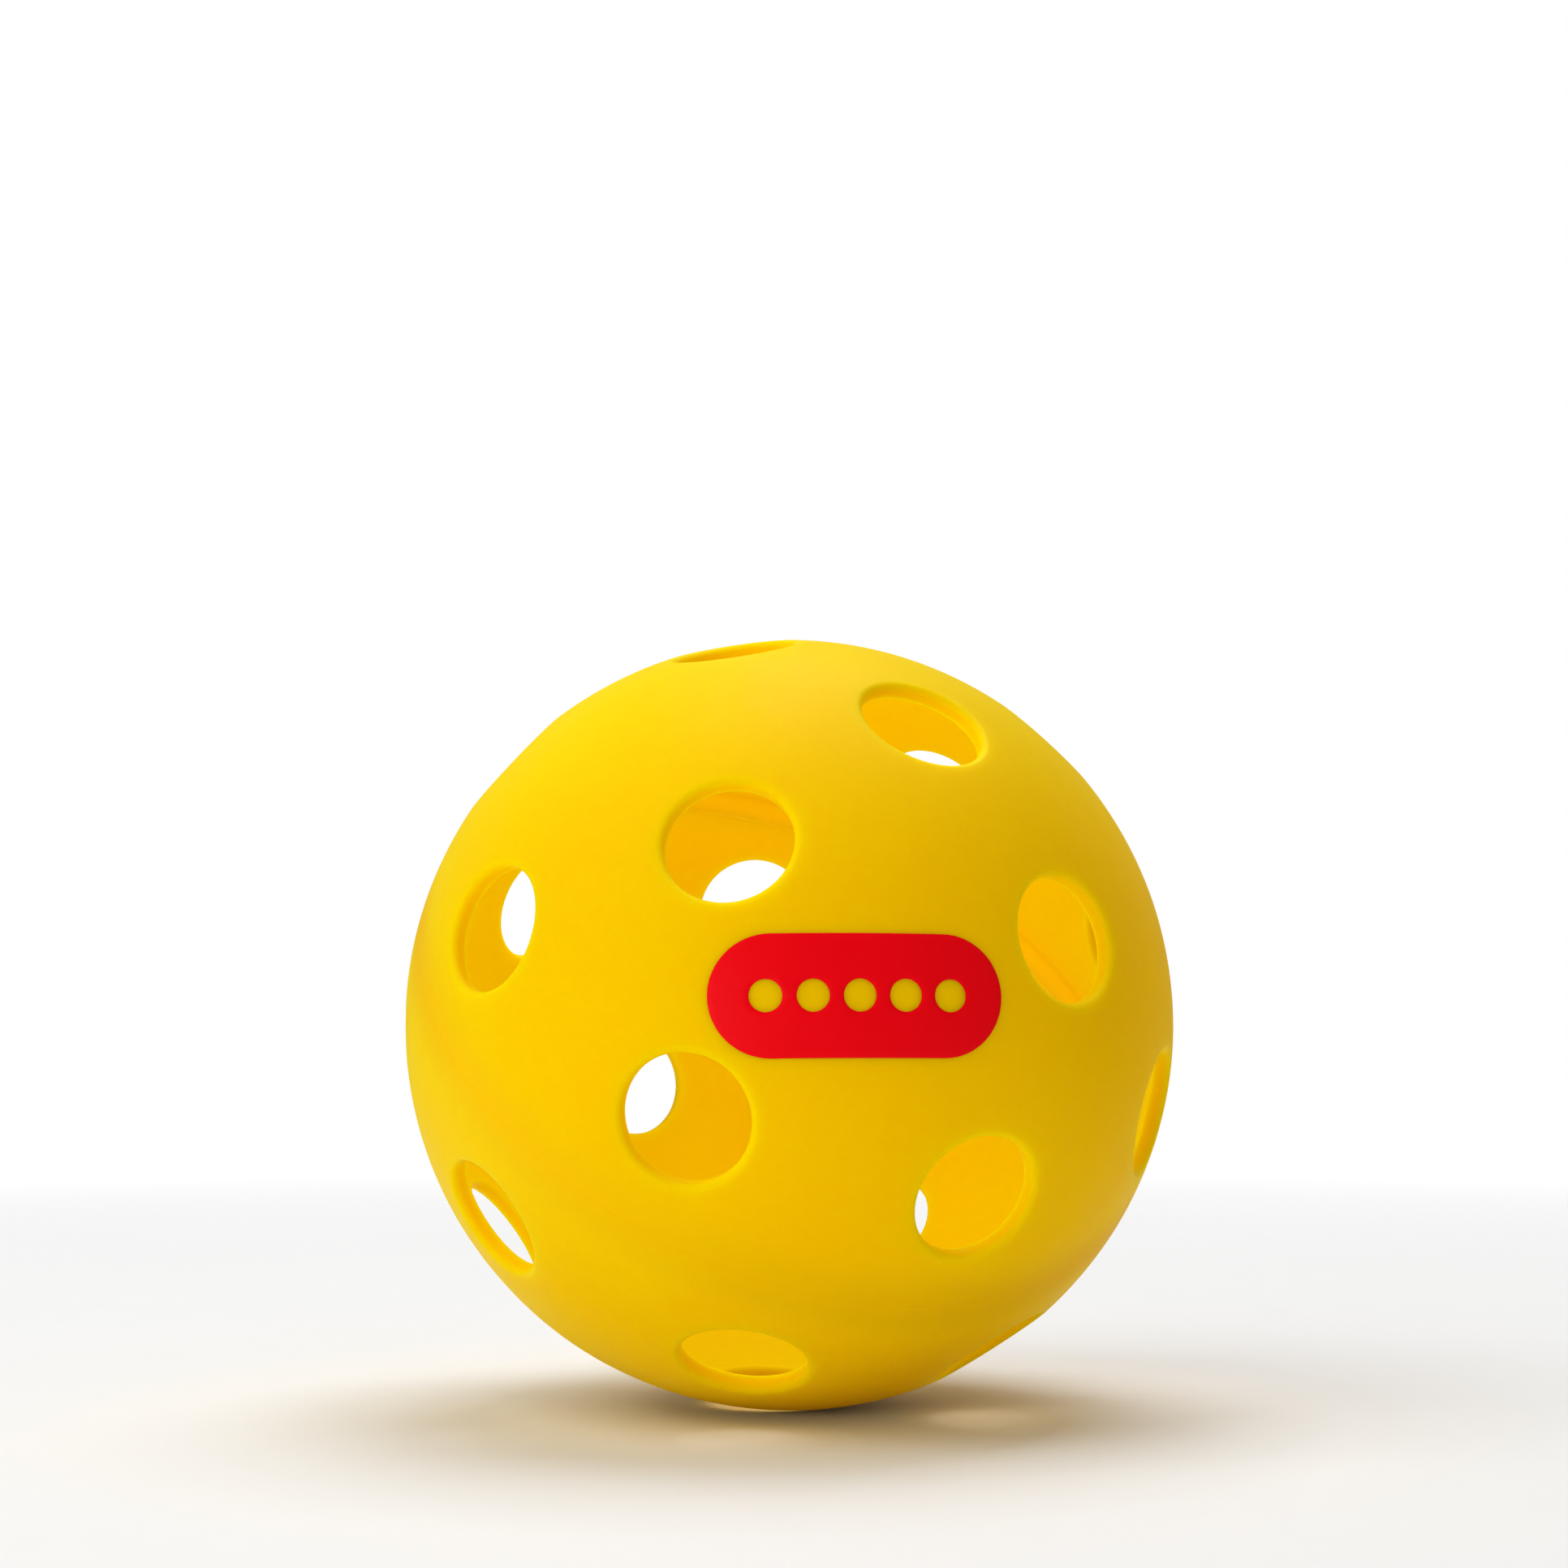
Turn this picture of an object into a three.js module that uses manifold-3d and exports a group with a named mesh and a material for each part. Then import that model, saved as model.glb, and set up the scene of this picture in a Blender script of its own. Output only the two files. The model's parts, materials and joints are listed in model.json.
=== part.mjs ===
// Indoor pickleball: a hollow perforated plastic ball, moulded as two half shells that are welded
// together at the equator, with one small panel of ink printed on the outside.
//
// Frame: millimetres, +Z up, -Y towards the front, origin at the centre of the ball. The ball lies
// as it was put down, with its poles leaning, so the weld is tilted. Everything is built in the
// ball's own frame, poles on its Z axis, and the nested groups at the end lay it down.
import * as THREE from "three";
import { mergeVertices } from "three/addons/utils/BufferGeometryUtils.js";
import Module from "manifold-3d";

// ---- The ball ----
const BALL_RADIUS = 37;
const WALL = 1.7;
const INNER_RADIUS = BALL_RADIUS - WALL;
const TOUCH_GAP = 0.3; // clearance kept between pieces that are welded on the real ball

// ---- The holes: each half has one at its pole, a ring of four and a ring of eight ----
const HOLE_RADIUS = 5.8;
const HOLE_EDGE = 0.5; // chamfer around each hole's outer edge
const UPPER_RINGS = { four: 37.7, eight: 72.2 }; // degrees from the half's own pole
const LOWER_RINGS = { four: 37, eight: 70.4 };
const EIGHT_STEP = 360 / 8;
const HALF_STEP = EIGHT_STEP / 2;

// ---- The weld: the upper half has a spigot that sits inside the lower half's rim ----
const SPIGOT_THICKNESS = 0.6;
const SPIGOT_LENGTH = 1.5; // below the weld plane
const SPIGOT_ROOT = 0.5; // height of the thickened rim above the weld plane
const ROOT_BLEND = 0.6; // height over which the thick rim runs out into the wall
const BEAD_WIDTH = 0.55;
const BEAD_HEIGHT = 0.8;

// ---- The printed panel: a pill with a row of plain dots left open ----
const PRINT_HALF_LENGTH = 12.8;
const PRINT_HALF_HEIGHT = 5.3;
const PRINT_AZIMUTH = 9.4; // degrees to the right of the front
const PRINT_ELEVATION = 3.4;
const INK_GAP = 0.1;
const INK_THICKNESS = 0.2;
const DOT_RADIUS = 1.4;
const DOT_SPACING = 4;
const DOT_COUNT = 5;

// ---- How the ball lies: its upper pole's direction, and the turn about the poles ----
const POLE_AZIMUTH = 29.5; // degrees to the right of the front
const POLE_ELEVATION = 47.4;
const BALL_SPIN = 22.3;

// ---- Facets ----
const AROUND = 48; // around the poles
const POLE_TO_EQUATOR = 12;
const HOLE_SIDES = 20;
const PILL_END_STEPS = 8; // curve divisions of each round end
const CUT_REACH = 4; // how far a cutter runs past both faces of the wall

const wasm = await Module();
wasm.setup();

const radians = THREE.MathUtils.degToRad;

// ---- Solids ----
function toSolid(geometry) {
  const bare = geometry.index ? geometry.toNonIndexed() : geometry.clone();
  bare.deleteAttribute("normal");
  bare.deleteAttribute("uv");
  const merged = mergeVertices(bare, 1e-4);
  return new wasm.Manifold(
    new wasm.Mesh({
      numProp: 3,
      vertProperties: merged.attributes.position.array,
      triVerts: new Uint32Array(merged.index.array),
    }),
  );
}

function toGeometry(solid) {
  const { vertProperties, triVerts } = solid.getMesh();
  const geometry = new THREE.BufferGeometry();
  geometry.setAttribute("position", new THREE.BufferAttribute(vertProperties, 3));
  geometry.setIndex(new THREE.BufferAttribute(triVerts, 1));
  geometry.computeVertexNormals();
  return geometry;
}

// A closed outline of [radius, height] points, turned about Z.
function turned(outline, segments) {
  const points = outline.map(([radius, height]) => new THREE.Vector2(radius, height));
  return new THREE.LatheGeometry(points, segments).rotateX(Math.PI / 2);
}

// Points of a circle about the centre, from one angle off the pole to another, in degrees.
function arc(radius, from, to, steps) {
  return Array.from({ length: steps + 1 }, (_, i) => {
    const angle = radians(THREE.MathUtils.lerp(from, to, i / steps));
    return [radius * Math.sin(angle), radius * Math.cos(angle)];
  });
}

// The angle off the pole at which a sphere reaches a height above the weld plane.
const angleAtHeight = (radius, height) => THREE.MathUtils.radToDeg(Math.acos(height / radius));

// ---- Directions in the ball's own frame ----
function direction(offPole, around) {
  const [polar, azimuth] = [radians(offPole), radians(around)];
  return new THREE.Vector3(
    Math.sin(polar) * Math.cos(azimuth),
    Math.sin(polar) * Math.sin(azimuth),
    Math.cos(polar),
  );
}

function ring(count, offPole, firstTurn) {
  return Array.from({ length: count }, (_, i) => direction(offPole, firstTurn + (360 / count) * i));
}

// A half's ring of four sits midway between neighbours of its ring of eight. The lower half's
// eight are half a step round from the upper half's, so the two rings interlock.
function holesOf(up, rings, eightTurn, fourTurn) {
  const fromPole = (angle) => (up ? angle : 180 - angle);
  return [
    direction(fromPole(0), 0),
    ...ring(4, fromPole(rings.four), fourTurn),
    ...ring(8, fromPole(rings.eight), eightTurn),
  ];
}

// A plug along +Z, the size of a hole, that widens at the ball's outer face to chamfer its edge.
function holePlug() {
  const rimHeight = Math.sqrt(BALL_RADIUS ** 2 - HOLE_RADIUS ** 2);
  const flare = HOLE_EDGE + CUT_REACH;
  return turned(
    [
      [0, INNER_RADIUS - CUT_REACH],
      [HOLE_RADIUS, INNER_RADIUS - CUT_REACH],
      [HOLE_RADIUS, rimHeight - HOLE_EDGE],
      [HOLE_RADIUS + flare, rimHeight - HOLE_EDGE + flare],
      [0, rimHeight - HOLE_EDGE + flare],
    ],
    HOLE_SIDES,
  );
}

function pierce(shell, directions) {
  const up = new THREE.Vector3(0, 0, 1);
  return directions.reduce((solid, towards) => {
    const plug = holePlug().applyQuaternion(new THREE.Quaternion().setFromUnitVectors(up, towards));
    return solid.subtract(toSolid(plug));
  }, shell);
}

// ---- The half shells ----
const SPIGOT_OUTER = INNER_RADIUS - TOUCH_GAP;
const SPIGOT_INNER = SPIGOT_OUTER - SPIGOT_THICKNESS;
const FACE_HEIGHT = TOUCH_GAP / 2; // each half's joint face stands this far off the weld plane

function upperHalf() {
  const rootTop = angleAtHeight(INNER_RADIUS, SPIGOT_ROOT + ROOT_BLEND);
  const outline = [
    ...arc(INNER_RADIUS, 0, rootTop, POLE_TO_EQUATOR),
    [SPIGOT_INNER, SPIGOT_ROOT],
    [SPIGOT_INNER, -SPIGOT_LENGTH],
    [SPIGOT_OUTER, -SPIGOT_LENGTH],
    [SPIGOT_OUTER, FACE_HEIGHT],
    ...arc(BALL_RADIUS, angleAtHeight(BALL_RADIUS, FACE_HEIGHT), 0, POLE_TO_EQUATOR),
  ];
  return pierce(toSolid(turned(outline, AROUND)), holesOf(true, UPPER_RINGS, HALF_STEP, 0));
}

function lowerHalf() {
  const outline = [
    ...arc(BALL_RADIUS, 180, angleAtHeight(BALL_RADIUS, -FACE_HEIGHT), POLE_TO_EQUATOR),
    ...arc(INNER_RADIUS, angleAtHeight(INNER_RADIUS, -FACE_HEIGHT), 180, POLE_TO_EQUATOR),
  ];
  return pierce(toSolid(turned(outline, AROUND)), holesOf(false, LOWER_RINGS, 0, EIGHT_STEP + HALF_STEP));
}

// ---- The weld bead: melt pressed out into the corner under the spigot, all the way round ----
function weldBead() {
  const top = -SPIGOT_LENGTH - TOUCH_GAP;
  const bottom = top - BEAD_HEIGHT;
  const wallAt = (height) => Math.sqrt(INNER_RADIUS ** 2 - height ** 2) - TOUCH_GAP;
  const outline = [
    [wallAt(top), top],
    [wallAt(top) - BEAD_WIDTH, top],
    [wallAt(top) - BEAD_WIDTH, top - BEAD_HEIGHT / 3],
    [wallAt(bottom), bottom],
  ];
  return toSolid(turned([...outline, outline[0]], AROUND));
}

// ---- The printed panel ----
function sphere(radius) {
  return toSolid(turned(arc(radius, 180, 0, 2 * POLE_TO_EQUATOR), AROUND));
}

function pillShape() {
  const straight = PRINT_HALF_LENGTH - PRINT_HALF_HEIGHT;
  const pill = new THREE.Shape();
  pill.absarc(straight, 0, PRINT_HALF_HEIGHT, -Math.PI / 2, Math.PI / 2, false);
  pill.absarc(-straight, 0, PRINT_HALF_HEIGHT, Math.PI / 2, -Math.PI / 2, false);
  for (let i = 0; i < DOT_COUNT; i++) {
    const dot = new THREE.Path();
    dot.absarc(DOT_SPACING * (i - (DOT_COUNT - 1) / 2), 0, DOT_RADIUS, 0, 2 * Math.PI, true);
    pill.holes.push(dot);
  }
  return pill;
}

// A film cut from a skin around the ball, so it follows the ball's own facets.
function printedPanel(intoBall) {
  const across = new THREE.Vector3(Math.cos(radians(PRINT_AZIMUTH)), Math.sin(radians(PRINT_AZIMUTH)), 0);
  const outward = new THREE.Vector3(0, -1, 0)
    .applyAxisAngle(new THREE.Vector3(1, 0, 0), -radians(PRINT_ELEVATION))
    .applyAxisAngle(new THREE.Vector3(0, 0, 1), radians(PRINT_AZIMUTH));
  const upward = new THREE.Vector3().crossVectors(outward, across);
  const prism = new THREE.ExtrudeGeometry(pillShape(), {
    depth: BALL_RADIUS + CUT_REACH,
    bevelEnabled: false,
    curveSegments: PILL_END_STEPS,
  });
  prism.applyMatrix4(new THREE.Matrix4().makeBasis(across, upward, outward)).applyMatrix4(intoBall);
  const skin = sphere(BALL_RADIUS + INK_GAP + INK_THICKNESS).subtract(sphere(BALL_RADIUS + INK_GAP));
  return skin.intersect(toSolid(prism));
}

// ---- The assembly ----
const plastic = { color: 0xf7c800, roughness: 0.48, metalness: 0 };
const finishes = {
  upper_half_shell: plastic,
  lower_half_shell: plastic,
  weld_bead: { color: 0xeab000, roughness: 0.6, metalness: 0 },
  printed_panel: { color: 0xe10a18, roughness: 0.4, metalness: 0 },
};

const ball = new THREE.Group();
const heading = new THREE.Group();
const tilt = new THREE.Group();
const spin = new THREE.Group();
heading.rotation.z = radians(POLE_AZIMUTH - 90);
tilt.rotation.y = radians(90 - POLE_ELEVATION);
spin.rotation.z = radians(BALL_SPIN);
ball.add(heading);
heading.add(tilt);
tilt.add(spin);
ball.updateMatrixWorld(true);

function addPiece(name, solid) {
  const mesh = new THREE.Mesh(toGeometry(solid), new THREE.MeshStandardMaterial(finishes[name]));
  mesh.name = name;
  spin.add(mesh);
}

addPiece("upper_half_shell", upperHalf());
addPiece("lower_half_shell", lowerHalf());
addPiece("weld_bead", weldBead());
addPiece("printed_panel", printedPanel(spin.matrixWorld.clone().invert()));

export default ball;
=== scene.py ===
"""The looks of the indoor pickleball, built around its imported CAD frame.

Metres, +Z up, -Y towards the front, the ball's centre at the origin. The pieces are drawn in the ball's
own axes, with its poles on Z, and turned to lie as the ball was put down.
"""

import json
import math

import bmesh
import bpy
import numpy as np
from mathutils import Matrix, Vector, noise
from mathutils.geometry import delaunay_2d_cdt


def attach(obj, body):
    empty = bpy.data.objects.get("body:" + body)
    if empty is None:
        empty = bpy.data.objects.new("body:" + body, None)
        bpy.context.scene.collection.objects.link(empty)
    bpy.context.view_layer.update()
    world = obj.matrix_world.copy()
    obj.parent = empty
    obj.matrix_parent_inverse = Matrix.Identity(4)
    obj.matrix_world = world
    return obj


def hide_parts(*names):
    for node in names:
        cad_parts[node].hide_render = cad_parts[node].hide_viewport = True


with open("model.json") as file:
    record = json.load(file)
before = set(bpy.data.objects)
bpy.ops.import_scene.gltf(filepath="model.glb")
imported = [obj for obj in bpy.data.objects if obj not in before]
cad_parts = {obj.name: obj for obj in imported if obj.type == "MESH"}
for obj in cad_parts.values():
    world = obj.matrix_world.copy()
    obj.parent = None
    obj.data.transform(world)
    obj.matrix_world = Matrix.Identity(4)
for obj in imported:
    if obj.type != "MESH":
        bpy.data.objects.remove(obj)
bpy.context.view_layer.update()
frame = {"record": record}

MM = 0.001
UP = Vector((0, 0, 1))

# ---- The ball: the sizes and angles of the CAD model ----
BALL_RADIUS = 37 * MM
WALL = 1.7 * MM
INNER_RADIUS = BALL_RADIUS - WALL
UPPER_RINGS = (37.7, 72.2)  # the ring of four and the ring of eight, in degrees from the half's own pole
LOWER_RINGS = (37, 70.4)
EIGHT_STEP = 45  # degrees between neighbours in a ring of eight
HALF_STEP = EIGHT_STEP / 2
POLE_AZIMUTH = 29.5  # degrees to the right of the front
POLE_ELEVATION = 47.4
BALL_SPIN = 22.3

# ---- The holes: a soft outer edge, a short straight throat, a tighter inner edge ----
HOLE_RADIUS = 5.75 * MM
OUTER_EDGE = 0.62 * MM
INNER_EDGE = 0.35 * MM
HOLE_POINTS = 72
EDGE_STEPS = 9
SKIN_SPACING = 0.9 * MM
SKIN_CLEARANCE = 0.6 * SKIN_SPACING  # kept free of points beside a rim or a hole
ROW_RATIO = 0.866  # between the rows and the sides of a triangular grid
SHARP_ANGLE = 50  # degrees between faces that aren't shaded as one surface

# ---- The weld: the upper half's spigot inside the lower half's rim ----
RIM_POINTS = 288
WITNESS_DEPTH = 0.012 * MM  # how far the surface dips where the halves meet
WITNESS_WIDTH = 0.35 * MM  # each side of the weld plane
JOINT_GAP = 0.004 * MM
SPIGOT_OUTER = INNER_RADIUS - 0.03 * MM
SPIGOT_INNER = 34.9 * MM
SPIGOT_LENGTH = 1.5 * MM
SPIGOT_ROOT = 0.5 * MM
ROOT_BLEND = 0.8 * MM
CORNER = 0.09 * MM

# ---- The melt under the spigot: a ring of oval section, half sunk into the wall ----
MELT_SIDES = 10
MELT_RADIUS = 0.3 * MM
MELT_SWELL = 0.06 * MM
MELT_HEIGHT_RATIO = 1.7
MELT_SUNK = 0.06 * MM
MELT_DROP = 0.1 * MM  # below the spigot's end
MELT_DROP_SWELL = 0.05 * MM
MELT_LUMPS = 9  # noise cells across the ring's unit radius
MELT_WAVER = 31

# ---- The mould's slight waviness ----
WAVE_HEIGHT = 0.035 * MM
WAVE_LENGTH = 13 * MM

# ---- The printed panel ----
PRINT_HALF_LENGTH = 12.8 * MM
PRINT_HALF_HEIGHT = 5.3 * MM
PRINT_AZIMUTH = 9.4
PRINT_ELEVATION = 3.4
DOT_RADIUS = 1.4 * MM
DOT_SPACING = 4 * MM
DOT_COUNT = 5
PILL_END_POINTS = 33
PILL_SIDE_POINTS = 27
DOT_POINTS = 40
INK_BOTTOM = 0.006 * MM  # above the ball's surface
INK_TOP = 0.03 * MM
INK_SHOULDER = 0.02 * MM
INK_SPACING = 0.55 * MM
INK_CLEARANCE = 0.45 * INK_SPACING


# ---- Vectors in the ball's own axes ----
def direction(off_pole, around):
    """A unit vector, from its angles off the upper pole and around it, in degrees."""
    polar, azimuth = math.radians(off_pole), math.radians(around)
    return np.array(
        [
            math.sin(polar) * math.cos(azimuth),
            math.sin(polar) * math.sin(azimuth),
            math.cos(polar),
        ]
    )


def hole_directions(ring_angles, eight_turn, four_turn):
    """The thirteen holes of a half whose pole is +Z: one, a ring of four and a ring of eight."""
    fours = [direction(ring_angles[0], four_turn + 90 * i) for i in range(4)]
    eights = [direction(ring_angles[1], eight_turn + EIGHT_STEP * i) for i in range(8)]
    return [direction(0, 0), *fours, *eights]


def circle(count):
    """Unit circle points as columns, cosine and sine."""
    turn = 2 * math.pi * np.arange(count) / count
    return np.stack([np.cos(turn), np.sin(turn)], 1)


def around_axis(axis, radius, height):
    """A ring of points about a hole's axis."""
    side = np.cross(axis, [0.0, 1.0, 0.0] if abs(axis[1]) < 0.9 else [1.0, 0.0, 0.0])
    side /= np.linalg.norm(side)
    other = np.cross(axis, side)
    turn = circle(HOLE_POINTS)
    return height * axis + radius * (turn[:, :1] * side + turn[:, 1:] * other)


def around_pole(radius, height):
    """A ring of points about the poles."""
    turn = circle(RIM_POINTS)
    return np.column_stack([radius * turn, np.full(RIM_POINTS, height)])


def even_points(spacing, radius):
    """Unit vectors spread evenly over the half with z > 0, about a spacing apart at a radius."""
    count = int(4 * math.pi * (radius / spacing) ** 2 / ROW_RATIO)
    step = np.arange(count) + 0.5
    height = 1 - 2 * step / count
    turn = step * math.pi * (1 + math.sqrt(5))
    flat = np.sqrt(1 - height**2)
    points = np.stack([flat * np.cos(turn), flat * np.sin(turn), height], 1)
    return points[height > 0]


# ---- Meshes ----
class Draft:
    """Points and faces gathered patch by patch, then made into one object."""

    def __init__(self):
        self.points = []
        self.faces = []

    def add(self, points):
        start = len(self.points)
        self.points.extend(points)
        return list(range(start, len(self.points)))

    def bridge(self, first, second):
        """Quads between two closed rings with the same number of points."""
        following = first[1:] + first[:1], second[1:] + second[:1]
        self.faces.extend(zip(first, following[0], following[1], second))

    def bridge_all(self, rings):
        for first, second in zip(rings, rings[1:]):
            self.bridge(first, second)

    def triangulate(self, flat, indices, edges, keep):
        """Delaunay triangles of flat points, which stand for the points at indices."""
        made = delaunay_2d_cdt([Vector(p) for p in flat], edges, [], 0, 1e-9)
        names = [indices[source[0]] for source in made[3]]
        for face in made[2]:
            if keep(face):
                self.faces.append(tuple(names[i] for i in face))

    def finish(self, name, place, mirrored=False):
        points = np.array(self.points)
        if mirrored:
            points = points * [1, 1, -1]
        points = wavy(points) @ np.array(place.to_3x3()).T
        mesh = bpy.data.meshes.new(name)
        mesh.from_pydata(points.tolist(), [], self.faces)
        tidy = bmesh.new()
        tidy.from_mesh(mesh)
        bmesh.ops.recalc_face_normals(tidy, faces=tidy.faces)
        tidy.to_mesh(mesh)
        tidy.free()
        mesh.shade_smooth()
        mesh.set_sharp_from_angle(angle=math.radians(SHARP_ANGLE))
        made = bpy.data.objects.new(name, mesh)
        bpy.context.scene.collection.objects.link(made)
        return made


def wavy(points):
    """Moves points in and out a little, smoothly, as a cooling moulding does."""
    reach = np.linalg.norm(points, axis=1, keepdims=True)
    outward = points / reach
    # Every layer of the wall at one place moves alike.
    waves = [noise.noise(Vector(p) * (BALL_RADIUS / WAVE_LENGTH)) for p in outward]
    return points + outward * WAVE_HEIGHT * np.array(waves)[:, None]


def skin(draft, radius, rings, ring_reach, rim, rim_height):
    """Covers a half sphere between its rim and its holes' rings.

    ring_reach is the angle of a ring's points off its hole's axis.
    """
    axes = [axis for axis, _ in rings]
    field = even_points(SKIN_SPACING, radius)
    clear = np.max(field @ np.array(axes).T, 1) < math.cos(ring_reach + SKIN_CLEARANCE / radius)
    field = field[clear & (field[:, 2] * radius > rim_height + SKIN_CLEARANCE)]
    loops = [rim, *[ring for _, ring in rings]]
    indices, edges = [], []
    for loop in loops:
        start = len(indices)
        indices += loop
        edges += [(start + i, start + (i + 1) % len(loop)) for i in range(len(loop))]
    indices += draft.add(list(field * radius))
    points = np.array([draft.points[i] for i in indices]) / radius
    # A stereographic map keeps circles round and triangles well shaped.
    flat = points[:, :2] / (1 + points[:, 2:])
    owner = np.full(len(indices), -1)
    start = len(rim)
    for number, (_, ring) in enumerate(rings):
        owner[start : start + len(ring)] = number
        start += len(ring)

    def keep(face):
        owners = {owner[i] for i in face}
        return len(owners) > 1 or owners == {-1}

    draft.triangulate(flat, indices, edges, keep)


def edge_arc(centre_radius, centre_height, radius, start, end):
    """Points of a fillet in a hole's section, as (distance from the axis, height)."""
    angles = np.linspace(start, end, EDGE_STEPS)
    return [
        (centre_radius + radius * math.cos(a), centre_height + radius * math.sin(a))
        for a in angles
    ]


def hole_section():
    """A hole's section from the outer skin's ring to the inner skin's.

    The rings' angles off the hole's axis come after it.
    """
    outer_at = HOLE_RADIUS + OUTER_EDGE
    outer_height = math.sqrt((BALL_RADIUS - OUTER_EDGE) ** 2 - outer_at**2)
    inner_at = HOLE_RADIUS + INNER_EDGE
    inner_height = math.sqrt((INNER_RADIUS + INNER_EDGE) ** 2 - inner_at**2)
    outward = math.atan2(outer_height, outer_at)
    inward = math.atan2(inner_height, inner_at) + math.pi
    section = edge_arc(outer_at, outer_height, OUTER_EDGE, outward, math.pi)
    section += edge_arc(inner_at, inner_height, INNER_EDGE, math.pi, inward)
    return section, math.pi / 2 - outward, math.pi * 1.5 - inward


def shell_half(name, axes, rim_section, place, mirrored=False):
    """One half shell.

    rim_section runs from the outer skin's rim to the inner skin's, as (radius, height).
    """
    draft = Draft()
    section, outer_reach, inner_reach = hole_section()
    outer_rings, inner_rings = [], []
    rims = [draft.add(list(around_pole(r, h))) for r, h in rim_section]
    draft.bridge_all(rims)
    for axis in axes:
        rings = [draft.add(list(around_axis(axis, r, h))) for r, h in section]
        draft.bridge_all(rings)
        outer_rings.append((axis, rings[0]))
        inner_rings.append((axis, rings[-1]))
    skin(draft, BALL_RADIUS, outer_rings, outer_reach, rims[0], rim_section[0][1])
    skin(draft, INNER_RADIUS, inner_rings, inner_reach, rims[-1], rim_section[-1][1])
    return draft.finish(name, place, mirrored)


def on_sphere(radius, height):
    """A section point on a sphere, at a height above the weld plane."""
    return math.sqrt(radius**2 - height**2), height


def witness():
    """The outer surface's last points before the weld plane, where it dips a little."""
    return [
        on_sphere(
            BALL_RADIUS - WITNESS_DEPTH * (1 + math.cos(math.pi * t)) / 2,
            WITNESS_WIDTH * t + JOINT_GAP,
        )
        for t in (1, 0.8, 0.6, 0.4, 0.2, 0)
    ]


def spigot_section():
    """The upper half's rim: the joint face, the spigot below it, and the root running out into the wall."""
    below = -SPIGOT_LENGTH
    blend = [
        (
            SPIGOT_INNER + (INNER_RADIUS - SPIGOT_INNER) * (1 - math.cos(math.pi * t)) / 2,
            SPIGOT_ROOT + ROOT_BLEND * t,
        )
        for t in (0.15, 0.3, 0.45, 0.6, 0.75, 0.9)
    ]
    return [
        *witness(),
        (SPIGOT_OUTER + CORNER, JOINT_GAP),
        (SPIGOT_OUTER, -CORNER),
        (SPIGOT_OUTER, below + CORNER),
        (SPIGOT_OUTER - CORNER, below),
        (SPIGOT_INNER + CORNER, below),
        (SPIGOT_INNER, below + CORNER),
        (SPIGOT_INNER, 0),
        (SPIGOT_INNER, SPIGOT_ROOT),
        *blend,
        on_sphere(INNER_RADIUS, SPIGOT_ROOT + 1.15 * ROOT_BLEND),
    ]


def plain_section():
    """The lower half's rim: the joint face and the inner corner."""
    return [
        *witness(),
        (INNER_RADIUS + CORNER, JOINT_GAP),
        (INNER_RADIUS, CORNER),
        on_sphere(INNER_RADIUS, 0.5 * MM),
    ]


# ---- How the ball lies ----
lie = (
    Matrix.Rotation(math.radians(POLE_AZIMUTH - 90), 4, "Z")
    @ Matrix.Rotation(math.radians(90 - POLE_ELEVATION), 4, "Y")
    @ Matrix.Rotation(math.radians(BALL_SPIN), 4, "Z")
)

# The lower half is drawn pole up like the upper one, then mirrored.
upper_holes = hole_directions(UPPER_RINGS, HALF_STEP, 0)
lower_holes = hole_directions(LOWER_RINGS, 0, EIGHT_STEP + HALF_STEP)
upper = shell_half("upper_half_moulding", upper_holes, spigot_section(), lie)
lower = shell_half("lower_half_moulding", lower_holes, plain_section(), lie, mirrored=True)


# ---- The melt pressed out under the spigot ----
def weld_melt(name):
    draft = Draft()
    sides = circle(MELT_SIDES)
    turn = circle(RIM_POINTS * 2)
    rings = []
    for c, s in turn:
        # Lumps a few millimetres long, and a finer waver.
        swell = noise.noise(Vector((c, s, 0.3)) * MELT_LUMPS)
        swell += 0.5 * noise.noise(Vector((c, s, 4.1)) * MELT_WAVER)
        radius = MELT_RADIUS + MELT_SWELL * swell
        centre = INNER_RADIUS + MELT_SUNK
        height = -SPIGOT_LENGTH - MELT_DROP - MELT_DROP_SWELL * swell
        reach = centre + radius * sides[:, 0]
        rise = height + MELT_HEIGHT_RATIO * radius * sides[:, 1]
        rings.append(draft.add(list(np.column_stack([reach * c, reach * s, rise]))))
    draft.bridge_all(rings + rings[:1])
    return draft.finish(name, lie)


melt = weld_melt("weld_melt")


# ---- The printed panel ----
def pill_outline(inset):
    """A pill's outline in its own plane."""
    straight = PRINT_HALF_LENGTH - PRINT_HALF_HEIGHT
    radius = PRINT_HALF_HEIGHT - inset
    ends = [(straight, -math.pi / 2), (-straight, math.pi / 2)]
    points = []
    for centre, start in ends:
        for angle in np.linspace(start, start + math.pi, PILL_END_POINTS):
            points.append((centre + radius * math.cos(angle), radius * math.sin(angle)))
        sign = 1 if centre < 0 else -1
        for t in np.linspace(0, 1, PILL_SIDE_POINTS)[1:-1]:
            points.append((centre + sign * 2 * straight * t, -sign * radius))
    return np.array(points)


def dot_outline(number, inset):
    centre = DOT_SPACING * (number - (DOT_COUNT - 1) / 2)
    return circle(DOT_POINTS) * (DOT_RADIUS + inset) + [centre, 0]


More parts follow.
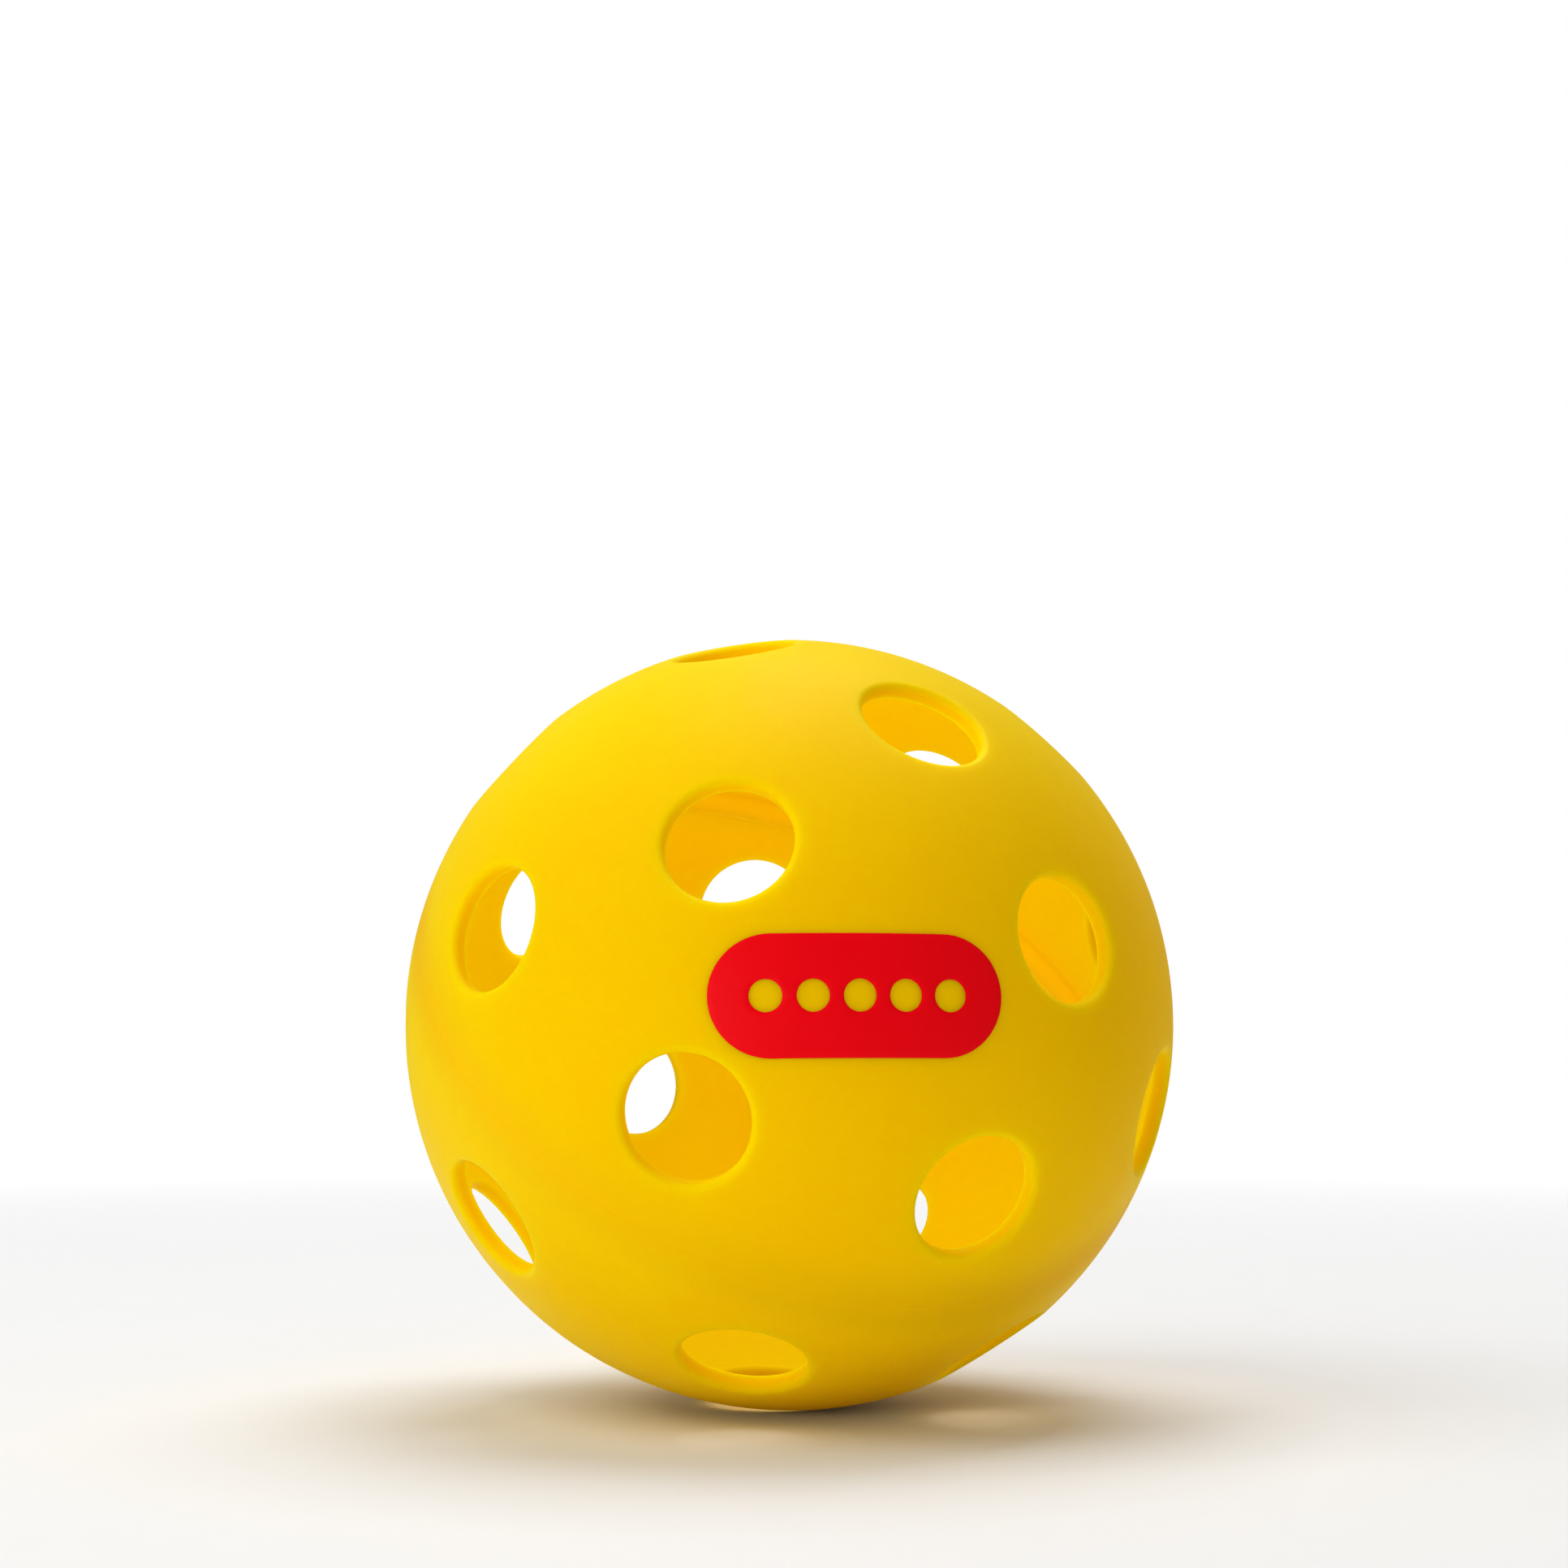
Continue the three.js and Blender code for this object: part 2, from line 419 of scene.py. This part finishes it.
def inked(flat):
    """Whether points of the panel's plane are on the ink, and clear of its edge."""
    straight = PRINT_HALF_LENGTH - PRINT_HALF_HEIGHT
    beyond = np.maximum(np.abs(flat[:, 0]) - straight, 0)
    on = np.hypot(beyond, flat[:, 1]) < PRINT_HALF_HEIGHT - INK_CLEARANCE
    for number in range(DOT_COUNT):
        centre = DOT_SPACING * (number - (DOT_COUNT - 1) / 2)
        on &= np.hypot(flat[:, 0] - centre, flat[:, 1]) > DOT_RADIUS + INK_CLEARANCE
    return on


def printed_panel(name):
    heading = Matrix.Rotation(math.radians(PRINT_AZIMUTH), 3, "Z")
    outward = heading @ Matrix.Rotation(-math.radians(PRINT_ELEVATION), 3, "X") @ Vector((0, -1, 0))
    across = heading @ Vector((1, 0, 0))
    upward = outward.cross(across)
    axes = np.array([across, upward, outward])
    into_ball = np.array(lie.to_3x3())

    def lifted(flat, height):
        """Points of the panel's plane, carried straight in onto the ball, in the ball's own axes."""
        radius = BALL_RADIUS + height
        depth = np.sqrt(radius**2 - (flat**2).sum(1))
        return np.column_stack([flat, depth]) @ axes @ into_ball

    draft = Draft()
    step = np.arange(-PRINT_HALF_LENGTH, PRINT_HALF_LENGTH, INK_SPACING)
    rows = np.arange(-PRINT_HALF_HEIGHT, PRINT_HALF_HEIGHT, INK_SPACING * ROW_RATIO)
    field = np.array([(x + (i % 2) * INK_SPACING / 2, y) for i, y in enumerate(rows) for x in step])
    field = field[inked(field)]
    # The ink's edge is a rounded step: each face's loops, and a mid loop that bulges out between them.
    outlines = [pill_outline, *[lambda inset, n=n: dot_outline(n, inset) for n in range(DOT_COUNT)]]
    loops = {}
    for height, inset in ((INK_TOP, INK_SHOULDER), (0.5 * (INK_TOP + INK_BOTTOM), 0), (INK_BOTTOM, 0)):
        loops[height] = [draft.add(list(lifted(outline(inset), height))) for outline in outlines]
    for upper_loops, lower_loops in zip(list(loops.values()), list(loops.values())[1:]):
        for first, second in zip(upper_loops, lower_loops):
            draft.bridge(first, second)
    for height, inset in ((INK_TOP, INK_SHOULDER), (INK_BOTTOM, 0)):
        flats = [outline(inset) for outline in outlines]
        indices, edges, owner = [], [], []
        for number, loop in enumerate(loops[height]):
            start = len(indices)
            indices += loop
            owner += [number] * len(loop)
            edges += [(start + i, start + (i + 1) % len(loop)) for i in range(len(loop))]
        indices += draft.add(list(lifted(field, height)))
        owner += [0] * len(field)

        def keep(face, owner=owner):
            owners = {owner[i] for i in face}
            return owners == {0} or len(owners) > 1

        draft.triangulate(np.concatenate([*flats, field]) / BALL_RADIUS, indices, edges, keep)
    return draft.finish(name, lie)


ink = printed_panel("printed_ink")


# ---- Materials ----
class Nodes:
    """A material's node tree, with short ways to add and link nodes."""

    def __init__(self, name):
        self.material = bpy.data.materials.new(name)
        self.material.use_nodes = True
        self.tree = self.material.node_tree
        self.tree.nodes.clear()

    def add(self, kind, **values):
        node = self.tree.nodes.new(kind)
        for key, value in values.items():
            setattr(node, key, value)
        return node

    def link(self, source, target):
        self.tree.links.new(source, target)

    def place(self):
        return self.add("ShaderNodeTexCoord").outputs["Object"]

    def noise(self, size, detail=2.0, roughness=0.5, place=None):
        """Noise whose lumps are about a size across, in metres."""
        node = self.add("ShaderNodeTexNoise")
        node.inputs["Scale"].default_value = 0.5 / size
        node.inputs["Detail"].default_value = detail
        node.inputs["Roughness"].default_value = roughness
        self.link(place or self.place(), node.inputs["Vector"])
        return node.outputs["Fac"]

    def spread(self, value, low, high, start=0.3, end=0.7, smooth=False):
        """Maps a value from start..end to low..high."""
        node = self.add("ShaderNodeMapRange", clamp=True)
        node.interpolation_type = "SMOOTHSTEP" if smooth else "LINEAR"
        for key, number in zip(("From Min", "From Max", "To Min", "To Max"), (start, end, low, high)):
            node.inputs[key].default_value = number
        self.link(value, node.inputs["Value"])
        return node.outputs["Result"]

    def mix(self, share, first, second, blend="MIX"):
        """Mixes two colours, each a socket or three numbers."""
        node = self.add("ShaderNodeMix", data_type="RGBA", blend_type=blend)
        for socket, value in ((node.inputs[0], share), (node.inputs[6], first), (node.inputs[7], second)):
            if isinstance(value, bpy.types.NodeSocket):
                self.link(value, socket)
            elif isinstance(value, tuple):
                socket.default_value = (*value, 1)
            else:
                socket.default_value = value
        return node.outputs[2]

    def math(self, operation, first, second):
        node = self.add("ShaderNodeMath", operation=operation)
        for socket, value in zip(node.inputs, (first, second)):
            if isinstance(value, bpy.types.NodeSocket):
                self.link(value, socket)
            else:
                socket.default_value = value
        return node.outputs[0]

    def bump(self, height, depth, strength=1.0, under=None):
        """A bump of a depth in metres, on top of another normal."""
        node = self.add("ShaderNodeBump")
        node.inputs["Strength"].default_value = strength
        node.inputs["Distance"].default_value = depth
        self.link(height, node.inputs["Height"])
        if under:
            self.link(under, node.inputs["Normal"])
        return node.outputs["Normal"]

    def surface(self, colour, roughness, normal, **constants):
        shader = self.add("ShaderNodeBsdfPrincipled")
        self.link(colour, shader.inputs["Base Color"])
        self.link(roughness, shader.inputs["Roughness"])
        self.link(normal, shader.inputs["Normal"])
        for key, value in constants.items():
            socket = shader.inputs[key.replace("_", " ")]
            if isinstance(value, bpy.types.NodeSocket):
                self.link(value, socket)
            else:
                socket.default_value = value
        output = self.add("ShaderNodeOutputMaterial")
        self.link(shader.outputs[0], output.inputs["Surface"])
        return self.material


PLASTIC_LIGHT = (0.94, 0.62, 0.0002)
PLASTIC_DEEP = (0.925, 0.595, 0.0001)
PLASTIC_GLOSS = (1.0, 0.72, 0.02, 1)
PLASTIC_REACH = (1.0, 0.8, 0.2)  # how far red, green and blue light go in the wall, to one another
PLASTIC_DEPTH = 2.8 * MM
# Painted light near the weld: a warmer colour standing in for the light the wall carries elsewhere.
WELD_PAINTED_LIGHT = (1.05, 0.95, 1.0)
# Painted shade inside the joint's doubled wall, which lets less light through.
BELT_PAINTED_SHADE = (1.02, 0.98, 1.0)
# Painted light in the holes' walls: a warmer colour standing in for light carried through the plastic.
THROAT_PAINTED_LIGHT = (1.06, 0.92, 1.0)
SURFACE_ONLY = (0.3 * MM, 5 * MM)  # off the weld, where light begins, and where it fully goes into the wall
BELT_HALF_WIDTH = (1.0 * MM, 1.7 * MM)  # where the belt's tone begins to fade and is gone
BELT_MIDDLE = -0.2 * MM  # above the weld plane
INNER_SKIN = (INNER_RADIUS + 0.2 * MM, INNER_RADIUS + 0.6 * MM)
OUTER_SKIN = (BALL_RADIUS - 0.75 * MM, BALL_RADIUS - 0.1 * MM)


def specks(nodes, spacing, size, share):
    """Where a sparse dark speck lies in the plastic: 1 on a speck. A share of the cells holds one."""
    cells = nodes.add("ShaderNodeTexVoronoi", feature="F1")
    cells.inputs["Scale"].default_value = 1 / spacing
    nodes.link(nodes.place(), cells.inputs["Vector"])
    apart = nodes.add("ShaderNodeSeparateColor")
    nodes.link(cells.outputs["Color"], apart.inputs[0])
    chosen = nodes.math("LESS_THAN", apart.outputs[0], share)
    near = nodes.spread(cells.outputs["Distance"], 1, 0, 0.6 * size / spacing, size / spacing)
    return nodes.math("MULTIPLY", near, chosen)


def off_weld(nodes, near, far, middle=0.0):
    """0 up to near and 1 from far on, in metres, each side of a height above the weld plane."""
    along = nodes.add("ShaderNodeVectorMath", operation="DOT_PRODUCT")
    nodes.link(nodes.place(), along.inputs[0])
    along.inputs[1].default_value = lie.to_3x3() @ UP
    apart = nodes.math("ABSOLUTE", nodes.math("SUBTRACT", along.outputs["Value"], middle), 0)
    return nodes.spread(apart, 0, 1, near, far, smooth=True)


def from_centre(nodes, low, high, near, far):
    """Maps the distance from the ball's centre."""
    reach = nodes.add("ShaderNodeVectorMath", operation="LENGTH")
    nodes.link(nodes.place(), reach.inputs[0])
    return nodes.spread(reach.outputs["Value"], low, high, near, far, smooth=True)


def moulded_plastic():
    nodes = Nodes("yellow_moulded_plastic")
    # Light inside the wall can't cross from one half's mesh to the other's, so near the weld none goes in.
    within = off_weld(nodes, *SURFACE_ONLY)
    cloudy = nodes.spread(nodes.noise(9 * MM, detail=3), 0, 1)
    tone = nodes.mix(cloudy, PLASTIC_LIGHT, PLASTIC_DEEP)
    mottle = nodes.spread(nodes.noise(0.8 * MM), 0.985, 1.0)
    tone = nodes.mix(1.0, tone, mottle, blend="MULTIPLY")
    # Near the weld: painted light, a warmer colour standing in for the light the wall carries under the
    # surface elsewhere.
    tone = nodes.mix(within, nodes.mix(1.0, tone, WELD_PAINTED_LIGHT, blend="MULTIPLY"), tone)
    # Inside, on the joint's doubled wall: painted shade, since the thicker wall lets less light through from
    # behind.
    inside = from_centre(nodes, 1, 0, *INNER_SKIN)
    off_belt = off_weld(nodes, *BELT_HALF_WIDTH, middle=BELT_MIDDLE)
    belt = nodes.math("MULTIPLY", inside, nodes.math("SUBTRACT", 1, off_belt))
    tone = nodes.mix(belt, tone, nodes.mix(1.0, tone, BELT_PAINTED_SHADE, blend="MULTIPLY"))
    # In a hole's wall, seen edge on: painted light, a warmer colour standing in for the light carried through
    # the plastic.
    throat = nodes.math("SUBTRACT", from_centre(nodes, 1, 0, *OUTER_SKIN), inside)
    throat = nodes.math("MAXIMUM", throat, 0)
    tone = nodes.mix(throat, tone, nodes.mix(1.0, tone, THROAT_PAINTED_LIGHT, blend="MULTIPLY"))
    dirt = nodes.math("MULTIPLY", specks(nodes, 13 * MM, 0.13 * MM, 0.3), 0.75)
    tone = nodes.mix(dirt, tone, (0.1, 0.05, 0.01))
    rough = nodes.spread(nodes.noise(3 * MM, detail=4, roughness=0.6), 0.44, 0.54)
    fine = nodes.bump(nodes.noise(0.22 * MM, detail=3), 0.006 * MM)
    peel = nodes.bump(nodes.noise(1.3 * MM, detail=1), 0.012 * MM, under=fine)
    return nodes.surface(
        tone,
        rough,
        peel,
        IOR=1.5,
        Specular_IOR_Level=0.035,
        Specular_Tint=PLASTIC_GLOSS,
        Subsurface_Weight=within,
        Subsurface_Radius=PLASTIC_REACH,
        Subsurface_Scale=PLASTIC_DEPTH,
    )


def melted_plastic():
    nodes = Nodes("yellow_melted_plastic")
    cloudy = nodes.spread(nodes.noise(2 * MM, detail=3), 0, 1)
    tone = nodes.mix(cloudy, (0.97, 0.6, 0.0002), (0.93, 0.56, 0.0001))
    rough = nodes.spread(nodes.noise(0.7 * MM, detail=3), 0.3, 0.6)
    lumps = nodes.bump(nodes.noise(0.5 * MM, detail=3), 0.05 * MM)
    return nodes.surface(
        tone,
        rough,
        lumps,
        IOR=1.5,
        Specular_IOR_Level=0.05,
        Specular_Tint=PLASTIC_GLOSS,
    )


def printed_ink():
    nodes = Nodes("red_printed_ink")
    cloudy = nodes.spread(nodes.noise(4 * MM, detail=3), 0, 1)
    tone = nodes.mix(cloudy, (0.97, 0.001, 0.006), (0.93, 0.0008, 0.005))
    pinholes = nodes.math("MULTIPLY", specks(nodes, 1.6 * MM, 0.06 * MM, 0.15), 0.5)
    tone = nodes.mix(pinholes, tone, (0.8, 0.18, 0.004))
    rough = nodes.spread(nodes.noise(1.2 * MM, detail=3), 0.34, 0.46)
    film = nodes.bump(nodes.noise(0.35 * MM, detail=2), 0.004 * MM)
    return nodes.surface(tone, rough, film, IOR=1.5, Specular_IOR_Level=0.05)


plastic = moulded_plastic()
upper.data.materials.append(plastic)
lower.data.materials.append(plastic)
melt.data.materials.append(melted_plastic())
ink.data.materials.append(printed_ink())
for piece, node, slot in (
    (upper, "upper_half_shell", "shell"),
    (lower, "lower_half_shell", "shell"),
    (melt, "weld_bead", "weld"),
    (ink, "printed_panel", "ink"),
):
    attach(piece, "root")
    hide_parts(node)

# ---- The floor: a pale disc whose edge fades into the white surroundings ----
FLOOR_RADIUS = 0.9
FLOOR_RINGS = 24
FLOOR_POINTS = 96
FLOOR_FADE = (0.06, 0.42)  # metres from the ball's centre where the floor begins to fade and is gone


def pale_floor(height):
    draft = []
    turn = circle(FLOOR_POINTS)
    for ring in range(1, FLOOR_RINGS + 1):
        radius = FLOOR_RADIUS * (ring / FLOOR_RINGS) ** 2
        draft += [(radius * c, radius * s, height) for c, s in turn]
    centre = len(draft)
    draft.append((0, 0, height))
    faces = [(centre, i, (i + 1) % FLOOR_POINTS) for i in range(FLOOR_POINTS)]
    for ring in range(FLOOR_RINGS - 1):
        a, b = ring * FLOOR_POINTS, (ring + 1) * FLOOR_POINTS
        for i in range(FLOOR_POINTS):
            following = (i + 1) % FLOOR_POINTS
            faces.append((a + i, b + i, b + following, a + following))
    mesh = bpy.data.meshes.new("floor")
    mesh.from_pydata(draft, [], faces)
    floor = bpy.data.objects.new("floor", mesh)
    bpy.context.scene.collection.objects.link(floor)
    return floor


def floor_paint():
    nodes = Nodes("pale_floor")
    cloudy = nodes.spread(nodes.noise(40 * MM, detail=4), 0, 1)
    tone = nodes.mix(cloudy, (0.93, 0.93, 0.925), (0.91, 0.91, 0.905))
    rough = nodes.spread(nodes.noise(2 * MM), 0.7, 0.85)
    grain = nodes.bump(nodes.noise(0.6 * MM), 0.01 * MM)
    nodes.surface(tone, rough, grain, Specular_IOR_Level=0.1)
    shader = next(n for n in nodes.tree.nodes if n.bl_idname == "ShaderNodeBsdfPrincipled")
    output = next(n for n in nodes.tree.nodes if n.bl_idname == "ShaderNodeOutputMaterial")
    reach = nodes.add("ShaderNodeVectorMath", operation="LENGTH")
    nodes.link(nodes.place(), reach.inputs[0])
    fade = nodes.spread(reach.outputs["Value"], 0, 1, *FLOOR_FADE)
    clear = nodes.add("ShaderNodeBsdfTransparent")
    both = nodes.add("ShaderNodeMixShader")
    nodes.link(fade, both.inputs[0])
    nodes.link(shader.outputs[0], both.inputs[1])
    nodes.link(clear.outputs[0], both.inputs[2])
    nodes.link(both.outputs[0], output.inputs["Surface"])
    return nodes.material


rest_height = frame["record"]["mounts"][0]["pos_m"][2]
floor = pale_floor(rest_height)
floor.data.materials.append(floor_paint())

# ---- Lights ----
SOFTBOXES = {
    # name: (direction from the ball, distance, side, watts)
    "high_left": ((-0.6, -0.3, 0.74), 0.6, 0.4, 1.15),
    "top": ((0.1, 0.25, 0.96), 0.6, 0.4, 2.3),
    "low": ((-0.5, -0.75, -0.02), 0.6, 0.3, 1.36),
}
WARM_FILL = ((0.75, 0.65, 0.05), 0.7, 0.5, 0.65)
WARM_FILL_COLOUR = (1, 0.1, 0.02)
GLOW = 0.0138
GLOW_RADIUS = 33 * MM
GLOW_COLOUR = (0.65, 1, 0.33)
SURROUNDINGS = 0.29


def softbox(name, towards, distance, side, watts):
    data = bpy.data.lights.new(name, "AREA")
    data.shape = "SQUARE"
    data.size = side
    data.energy = watts
    lamp = bpy.data.objects.new(name, data)
    towards = Vector(towards).normalized()
    lamp.location = towards * distance
    lamp.rotation_mode = "QUATERNION"
    lamp.rotation_quaternion = towards.to_track_quat("Z", "Y")
    bpy.context.scene.collection.objects.link(lamp)
    return lamp


def inner_glow(watts, radius):
    """The light that really comes in through the whole of the thin wall.

    The renderer carries light through a wall only once, so by itself it leaves the hollow too dark.
    """
    data = bpy.data.lights.new("inner_glow", "POINT")
    data.shadow_soft_size = radius
    data.use_soft_falloff = False
    data.energy = watts
    lamp = bpy.data.objects.new("inner_glow", data)
    lamp.visible_camera = False
    lamp.visible_glossy = False
    bpy.context.scene.collection.objects.link(lamp)
    return lamp


def light_only(lamp, pieces, colour):
    """Gives a lamp a colour, and keeps its light on some pieces, so none of the colour falls on the floor."""
    lamp.data.color = colour
    lit = bpy.data.collections.new("lit_by_" + lamp.name)
    for piece in pieces:
        lit.objects.link(piece)
    lamp.light_linking.receiver_collection = lit


for name, values in SOFTBOXES.items():
    softbox(name, *values)
light_only(softbox("warm_fill", *WARM_FILL), (upper, lower, melt, ink), WARM_FILL_COLOUR)
light_only(inner_glow(GLOW, GLOW_RADIUS), (upper, lower, melt), GLOW_COLOUR)


def white_surroundings():
    """A white studio: seen as plain white, and lighting the ball softly."""
    world = bpy.data.worlds.new("studio")
    world.use_nodes = True
    tree = world.node_tree
    tree.nodes.clear()
    seen = tree.nodes.new("ShaderNodeBackground")
    seen.inputs["Strength"].default_value = 1.0
    lit = tree.nodes.new("ShaderNodeBackground")
    lit.name = "fill"
    lit.inputs["Strength"].default_value = SURROUNDINGS
    for node in (seen, lit):
        node.inputs["Color"].default_value = (1, 1, 1, 1)
    path = tree.nodes.new("ShaderNodeLightPath")
    both = tree.nodes.new("ShaderNodeMixShader")
    output = tree.nodes.new("ShaderNodeOutputWorld")
    tree.links.new(path.outputs["Is Camera Ray"], both.inputs[0])
    tree.links.new(lit.outputs[0], both.inputs[1])
    tree.links.new(seen.outputs[0], both.inputs[2])
    tree.links.new(both.outputs[0], output.inputs["Surface"])
    bpy.context.scene.world = world


white_surroundings()

# ---- Camera: level with the ball, and aimed a little above it ----
CAMERA_DISTANCE = 7.6 * BALL_RADIUS
CAMERA_LENS = 66.2
CAMERA_TILT = 4.7
CAMERA_PAN = 0.1
CAMERA_SENSOR = 36
CAMERA_NEAREST = 0.01

camera = bpy.data.objects.new("camera", bpy.data.cameras.new("camera"))
camera.data.lens = CAMERA_LENS
camera.data.sensor_width = CAMERA_SENSOR
camera.data.clip_start = CAMERA_NEAREST
camera.location = (0, -CAMERA_DISTANCE, 0)
camera.rotation_euler = (math.radians(90 + CAMERA_TILT), 0, math.radians(CAMERA_PAN))
bpy.context.scene.collection.objects.link(camera)
bpy.context.scene.camera = camera
bpy.context.scene.view_settings.view_transform = "Standard"
